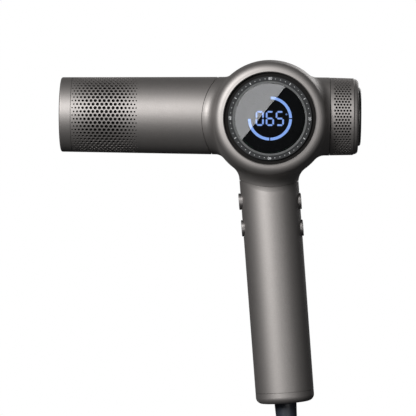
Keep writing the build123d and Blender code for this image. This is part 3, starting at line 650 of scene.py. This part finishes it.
def noise(nodes, links, scale, detail=3.0, stretch=(1, 1, 1)):
    """Grain that is fixed to the piece."""
    place = nodes.new("ShaderNodeTexCoord")
    mapping = nodes.new("ShaderNodeMapping")
    mapping.inputs["Scale"].default_value = stretch
    texture = nodes.new("ShaderNodeTexNoise")
    texture.inputs["Scale"].default_value = scale
    texture.inputs["Detail"].default_value = detail
    links.new(place.outputs["Object"], mapping.inputs["Vector"])
    links.new(mapping.outputs["Vector"], texture.inputs["Vector"])
    return texture


def ramp(nodes, links, source, low, high):
    """Colour from low to high over the middle of a noise's range."""
    blend = nodes.new("ShaderNodeValToRGB")
    blend.color_ramp.elements[0].position = 0.3
    blend.color_ramp.elements[1].position = 0.7
    blend.color_ramp.elements[0].color = (*low, 1)
    blend.color_ramp.elements[1].color = (*high, 1)
    links.new(source.outputs["Fac"], blend.inputs["Fac"])
    return blend


def rough_range(nodes, links, source, target, low, high):
    spread = nodes.new("ShaderNodeMapRange")
    spread.inputs["To Min"].default_value = low
    spread.inputs["To Max"].default_value = high
    links.new(source.outputs["Fac"], spread.inputs["Value"])
    links.new(spread.outputs["Result"], target)


def surface(name, colour, spread=0.08, grain=900, roughness=(0.4, 0.5), metallic=0.0, bump=0.0,
            bump_scale=None, stretch=(1, 1, 1), coat=0.0, specular=0.5):
    """Colour that varies with a fine grain, with its own roughness range and relief in metres."""
    material, nodes, links, body = shader(name)
    fine = noise(nodes, links, grain, stretch=stretch)
    low = tuple(max(c * (1 - spread), 0) for c in colour)
    high = tuple(min(c * (1 + spread), 1) for c in colour)
    links.new(ramp(nodes, links, fine, low, high).outputs["Color"], body.inputs["Base Color"])
    wide = noise(nodes, links, grain / 12, stretch=stretch)
    rough_range(nodes, links, wide, body.inputs["Roughness"], *roughness)
    body.inputs["Metallic"].default_value = metallic
    body.inputs["Specular IOR Level"].default_value = specular
    body.inputs["Coat Weight"].default_value = coat
    body.inputs["Coat Roughness"].default_value = 0.1
    if bump:
        relief = noise(nodes, links, bump_scale or grain, stretch=stretch)
        node = nodes.new("ShaderNodeBump")
        node.inputs["Strength"].default_value = 1.0
        node.inputs["Distance"].default_value = bump
        links.new(relief.outputs["Fac"], node.inputs["Height"])
        links.new(node.outputs["Normal"], body.inputs["Normal"])
    return material


def glowing(name, colour, strength):
    """Light guide: even glow with slightly brighter spots where its lamps sit."""
    material, nodes, links, body = shader(name)
    body.inputs["Base Color"].default_value = (*[c * 0.4 for c in colour], 1)
    body.inputs["Roughness"].default_value = 0.4
    spots = noise(nodes, links, 450, detail=1.0)
    low = tuple(c * 0.92 for c in colour)
    links.new(ramp(nodes, links, spots, low, colour).outputs["Color"], body.inputs["Emission Color"])
    body.inputs["Emission Strength"].default_value = strength
    return material


def clear_glass(name):
    """Thin glossy cover that shows what lies right behind it, seen from less than 40 degrees off.

    From further round, the cover's inner side counts as a full mirror and hides it.
    """
    material, nodes, links, body = shader(name)
    nodes.remove(body)
    smear = noise(nodes, links, 60)
    gloss = nodes.new("ShaderNodeBsdfGlossy")
    rough_range(nodes, links, smear, gloss.inputs["Roughness"], 0.0, 0.006)
    through = nodes.new("ShaderNodeBsdfTransparent")
    through.inputs["Color"].default_value = (0.93, 0.94, 0.96, 1)
    fresnel = nodes.new("ShaderNodeFresnel")
    fresnel.inputs["IOR"].default_value = 1.55
    mix = nodes.new("ShaderNodeMixShader")
    links.new(fresnel.outputs["Fac"], mix.inputs["Fac"])
    links.new(through.outputs["BSDF"], mix.inputs[1])
    links.new(gloss.outputs["BSDF"], mix.inputs[2])
    links.new(mix.outputs["Shader"], nodes["Material Output"].inputs["Surface"])
    return material


def paint(pieces, material):
    for piece in pieces:
        piece.data.materials.clear()
        piece.data.materials.append(material)


# ---- Studio ----
def add_light(name, place, target, size, power):
    """Soft square light that the camera doesn't see."""
    data = bpy.data.lights.new(name, "AREA")
    data.shape = "RECTANGLE"
    data.size, data.size_y = size
    data.energy = power
    lamp = bpy.data.objects.new(name, data)
    bpy.context.scene.collection.objects.link(lamp)
    lamp.location = place
    lamp.rotation_mode = "QUATERNION"
    lamp.rotation_quaternion = (Vector(target) - Vector(place)).to_track_quat("-Z", "Y")
    lamp.visible_camera = False
    return lamp


def make_world():
    """White where the camera looks past the object, and nearly dark as a light."""
    scene = bpy.context.scene
    world = bpy.data.worlds.new("studio")
    scene.world = world
    world.use_nodes = True
    nodes, links = world.node_tree.nodes, world.node_tree.links
    nodes.clear()
    seen, lit = nodes.new("ShaderNodeBackground"), nodes.new("ShaderNodeBackground")
    seen.inputs["Color"].default_value = (1, 1, 1, 1)
    lit.inputs["Color"].default_value = (0.9, 0.93, 1, 1)
    lit.inputs["Strength"].default_value = 0.025
    path = nodes.new("ShaderNodeLightPath")
    mix = nodes.new("ShaderNodeMixShader")
    out = nodes.new("ShaderNodeOutputWorld")
    links.new(path.outputs["Is Camera Ray"], mix.inputs["Fac"])
    links.new(lit.outputs["Background"], mix.inputs[1])
    links.new(seen.outputs["Background"], mix.inputs[2])
    links.new(mix.outputs["Shader"], out.inputs["Surface"])


def make_studio():
    scene = bpy.context.scene
    scene.view_settings.view_transform = "Standard"
    scene.view_settings.look = "None"
    make_world()
    centre = Vector((DIAL.x - 20 * MM, 0, DIAL.z - 40 * MM))
    add_light("key", centre + Vector((-0.95, -1.75, 0.78)), centre, (0.75, 0.75), 66)
    add_light("fill", centre + Vector((0.8, -1.8, 0.0)), centre, (0.8, 0.8), 5)
    add_light("back", centre + Vector((0.9, 1.9, 0.9)), centre, (1.2, 1.2), 14)
    make_reflection_card()
    add_floor()


def make_reflection_card():
    """Soft light beside the camera whose slanting edge shows in the display glass."""
    camera = bpy.context.scene.camera.location
    slope = math.radians(51.1)
    along = Vector((math.cos(slope), 0, math.sin(slope)))
    across = Vector((-math.sin(slope), 0, math.cos(slope)))
    glass_x, glass_z = DIAL.x - 4.1 * MM, DIAL.z + 3.7 * MM          # where the edge shows in the glass
    on_edge = Vector((2 * glass_x - camera.x, camera.y, 2 * glass_z - camera.z))
    length, width = 0.24, 0.14
    place = on_edge + across * width / 2
    card = add_light("card", place, place + Vector((0, 1, 0)), (length, width), 0.43)
    card.matrix_world = Matrix((
        (along.x, across.x, 0, place.x),
        (0, 0, -1, place.y),
        (along.z, across.z, 0, place.z),
        (0, 0, 0, 1)))


def add_floor():
    radius, thickness, gap = 1.0, 20 * MM, 12 * MM            # the gap is under the plug's pins
    shape = solid_disc([(0, -thickness), (radius, -thickness), (radius, 0), (0, 0)], steps=128)
    points, faces = placed(shape, Matrix.Translation((0, 0, cad_box[0][2] - gap)))
    mesh = bpy.data.meshes.new("floor")
    mesh.from_pydata([tuple(p) for p in points], [], faces)
    floor = bpy.data.objects.new("floor", mesh)
    bpy.context.scene.collection.objects.link(floor)
    pale = surface("floor_pale", (0.82, 0.82, 0.82), spread=0.01, grain=30, roughness=(0.7, 0.8))
    mesh.materials.append(pale)
    floor.visible_glossy = False                 # its light doesn't wash out the dark underside
    floor.visible_diffuse = False


# ---- Build ----
make_camera()
cord = make_cord()
sleeve = make_strain_relief()
strap = make_strap()
plug = make_plug()
nodes = frame["nodes"]
barrel = make_front_barrel()
cap_tube = make_cap_sleeve()
trim = make_trim_ring()
marks = make_dial_marks()
numerals = make_dial_numerals()
digits = make_digits()
lit_arcs, unlit_arc = make_arcs()
mask = make_display_mask()

body_metal = surface("satin_grey_metal", (0.30, 0.283, 0.273), spread=0.10, grain=2600,
                     roughness=(0.57, 0.61), metallic=0.95, bump=0.000004, bump_scale=3200)
cap_metal = surface("turned_cap_metal", (0.15, 0.145, 0.14), spread=0.05, grain=1500, roughness=(0.4, 0.5),
                    metallic=0.95, bump=0.000006, bump_scale=900)
button_metal = surface("button_metal", (0.20, 0.19, 0.185), spread=0.06, grain=2600, roughness=(0.4, 0.46),
                       metallic=0.95)
black_plastic = surface("black_moulding", (0.0035, 0.003, 0.0025), spread=0.2, grain=1800,
                        roughness=(0.6, 0.7), bump=0.00002, bump_scale=2500, specular=0.12)
dark_liner = surface("dark_liner", (0.006, 0.006, 0.006), spread=0.2, grain=700, roughness=(0.7, 0.85),
                     specular=0.15)
dial_grey = surface("dial_charcoal", (0.007, 0.008, 0.009), spread=0.15, grain=2400, roughness=(0.5, 0.6),
                    bump=0.000008, specular=0.35)
trim_metal = surface("trim_metal", (0.14, 0.144, 0.144), spread=0.05, grain=2000, roughness=(0.45, 0.5),
                     metallic=0.9)
print_white = surface("dial_print", (0.55, 0.56, 0.57), spread=0.06, grain=2500, roughness=(0.6, 0.7))
mask_black = surface("mask_black", (0.0012, 0.0014, 0.0015), spread=0.2, grain=600, roughness=(0.6, 0.7),
                     specular=0.05)
unlit = surface("unlit_guide", (0.006, 0.0065, 0.007), spread=0.2, grain=800, roughness=(0.4, 0.5),
                specular=0.3)
rubber = surface("slate_rubber", (0.021, 0.025, 0.033), spread=0.12, grain=1400, roughness=(0.38, 0.5),
                 bump=0.00002, bump_scale=2200)
cord_rubber = surface("cord_rubber", (0.018, 0.021, 0.027), spread=0.12, grain=1600, roughness=(0.42, 0.55),
                      bump=0.00002, bump_scale=2600)
strap_weave = surface("strap_weave", (0.02, 0.02, 0.022), spread=0.5, grain=1200, roughness=(0.8, 0.95),
                      bump=0.00015, bump_scale=1500)
green_board = surface("green_board", (0.012, 0.10, 0.045), spread=0.3, grain=500, roughness=(0.3, 0.4),
                      coat=0.4)
chip_black = surface("chip_black", (0.02, 0.02, 0.021), spread=0.2, grain=2500, roughness=(0.5, 0.6))
mica = surface("mica_board", (0.55, 0.47, 0.34), spread=0.25, grain=260, roughness=(0.35, 0.6), coat=0.2,
               stretch=(0.3, 1, 1))
heater_wire = surface("heater_wire", (0.35, 0.31, 0.28), spread=0.2, grain=1500, roughness=(0.35, 0.5),
                      metallic=1.0)
copper = surface("wound_copper", (0.72, 0.30, 0.14), spread=0.3, grain=2200, roughness=(0.3, 0.4),
                 metallic=1.0, bump=0.00008, bump_scale=1500, stretch=(0.1, 1, 1))
steel = surface("brushed_steel", (0.52, 0.52, 0.53), spread=0.12, grain=1800, roughness=(0.28, 0.4),
                metallic=1.0, stretch=(1, 0.1, 0.1))
magnet = surface("nickel_magnet", (0.60, 0.59, 0.57), spread=0.05, grain=900, roughness=(0.15, 0.25),
                 metallic=1.0)
alloy = surface("cast_alloy", (0.55, 0.55, 0.56), spread=0.1, grain=1300, roughness=(0.35, 0.5),
                metallic=1.0, bump=0.00002)
pins = surface("nickel_pins", (0.66, 0.63, 0.58), spread=0.05, grain=1600, roughness=(0.18, 0.28),
               metallic=1.0)
light_blue = glowing("blue_light", (0.235, 0.40, 0.83), 0.85)
digit_blue = glowing("digit_light", (0.20, 0.33, 0.70), 1.0)

CAD_LOOKS = {
    "hub_housing": body_metal, "outlet_ring": body_metal, "cap_rim": body_metal,
    "handle_shell": body_metal, "handle_end_cap": body_metal, "back_cover": body_metal,
    "cap_disc": cap_metal, "power_button": button_metal, "cool_button": button_metal,
    "speed_button": button_metal, "heat_button": button_metal, "display_carrier": black_plastic,
    "outlet_grille": black_plastic, "intake_collar": black_plastic, "intake_grille": black_plastic,
    "filter_frame": dark_liner, "filter_mesh": dark_liner, "air_duct": black_plastic,
    "motor_housing": black_plastic, "ion_module": black_plastic, "handle_chassis": black_plastic,
    "switch_carrier": black_plastic, "tact_switches": black_plastic, "cord_clamp": black_plastic,
    "dial_ring": dial_grey, "display_glass": clear_glass("display_cover"), "display_board": green_board,
    "switch_boards": green_board, "main_board": green_board, "board_components": chip_black,
    "heat_shield": dark_liner, "thermal_cutout": mica, "heater_boards": mica, "heater_mica_tube": mica,
    "heater_coil": heater_wire, "motor_windings": copper, "motor_stator": steel, "rotor_shaft": steel,
    "rotor_bearings": steel, "keeper_ring": steel, "inner_screws": steel, "rotor_magnet": magnet,
    "cap_magnets": magnet, "impeller": alloy, "heat_sink": alloy, "motor_mount": rubber,
    "cord_core": cord_rubber, "inner_leads": cord_rubber, "plug_pins": pins,
}
for name, material in CAD_LOOKS.items():
    paint([nodes[name]], material)
paint([barrel, cap_tube], body_metal)
paint([trim], trim_metal)
paint([marks, *numerals], print_white)
paint([digits], digit_blue)
paint([lit_arcs], light_blue)
paint([unlit_arc], unlit)
paint([mask], mask_black)
paint([sleeve, plug], rubber)
paint([cord], cord_rubber)
paint([strap], strap_weave)
make_studio()
